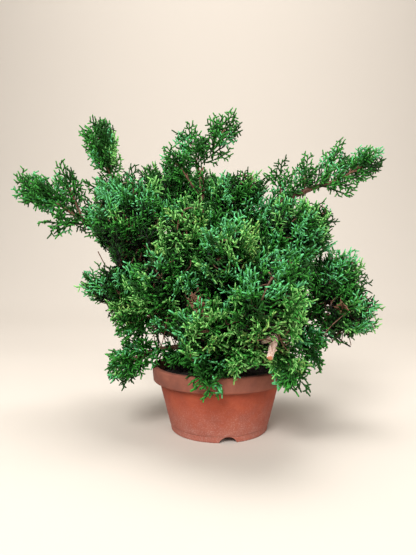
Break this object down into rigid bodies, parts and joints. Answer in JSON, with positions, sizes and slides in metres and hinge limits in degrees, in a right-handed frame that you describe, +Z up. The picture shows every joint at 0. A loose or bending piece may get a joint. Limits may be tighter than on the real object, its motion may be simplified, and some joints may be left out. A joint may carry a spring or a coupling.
{
  "type": "potted juniper bonsai",
  "caption": "Potted juniper bonsai: leaning trunk with root flare, spreading boughs and masses of scale-leaf sprays in a round terracotta pan filled with soil.",
  "frame": {"origin": "centre of the pot's flat underside, on the surface it stands on", "axes": "+Z up; the front of the picture faces -Y; +X to the right of the picture"},
  "size_m": [0.4199, 0.2891, 0.3603],
  "materials": {
    "terracotta": "unglazed fired clay with a dusty bloom",
    "soil": "moist dark potting soil",
    "bark": "flaky red-brown juniper bark",
    "stub_bark": "pale peeling bark with a sawn end",
    "foliage": "waxy green scale leaves in sprays"
  },
  "bodies": {
    "root": {"pot": "terracotta", "soil": "soil", "trunk": "bark", "bough_left": "bark", "bough_upper_left": "bark", "bough_right": "bark", "bough_crown_left": "bark", "bough_shoulder": "bark", "bough_right_low": "bark", "bough_left_mid": "bark", "bough_left_low": "bark", "bough_front": "bark", "cut_stub": "stub_bark", "left_tip": "foliage", "left_upper": "foliage", "left_lower": "foliage", "left_inner": "foliage", "upper_left": "foliage", "upper_left_low": "foliage", "leader": "foliage", "leader_middle": "foliage", "leader_left": "foliage", "top_small": "foliage", "right_inner": "foliage", "right_middle": "foliage", "right_upper": "foliage", "right_tip": "foliage", "right_under": "foliage", "crown_left": "foliage", "left_middle": "foliage", "crown_top_left": "foliage", "crown_front": "foliage", "crown_right": "foliage", "right_shoulder": "foliage", "right_edge": "foliage", "back_top": "foliage", "back_left": "foliage", "back_right": "foliage", "back_middle": "foliage", "back_left_low": "foliage", "back_right_low": "foliage", "front_left": "foliage", "front_middle": "foliage", "front_right": "foliage", "front_low_right": "foliage", "front_low_middle": "foliage", "front_heart": "foliage", "right_side": "foliage", "right_rise": "foliage", "right_hanging": "foliage", "left_side": "foliage", "left_hanging": "foliage", "left_low": "foliage", "rim_front": "foliage", "rim_middle": "foliage", "rim_right": "foliage"}
  },
  "joints": []
}
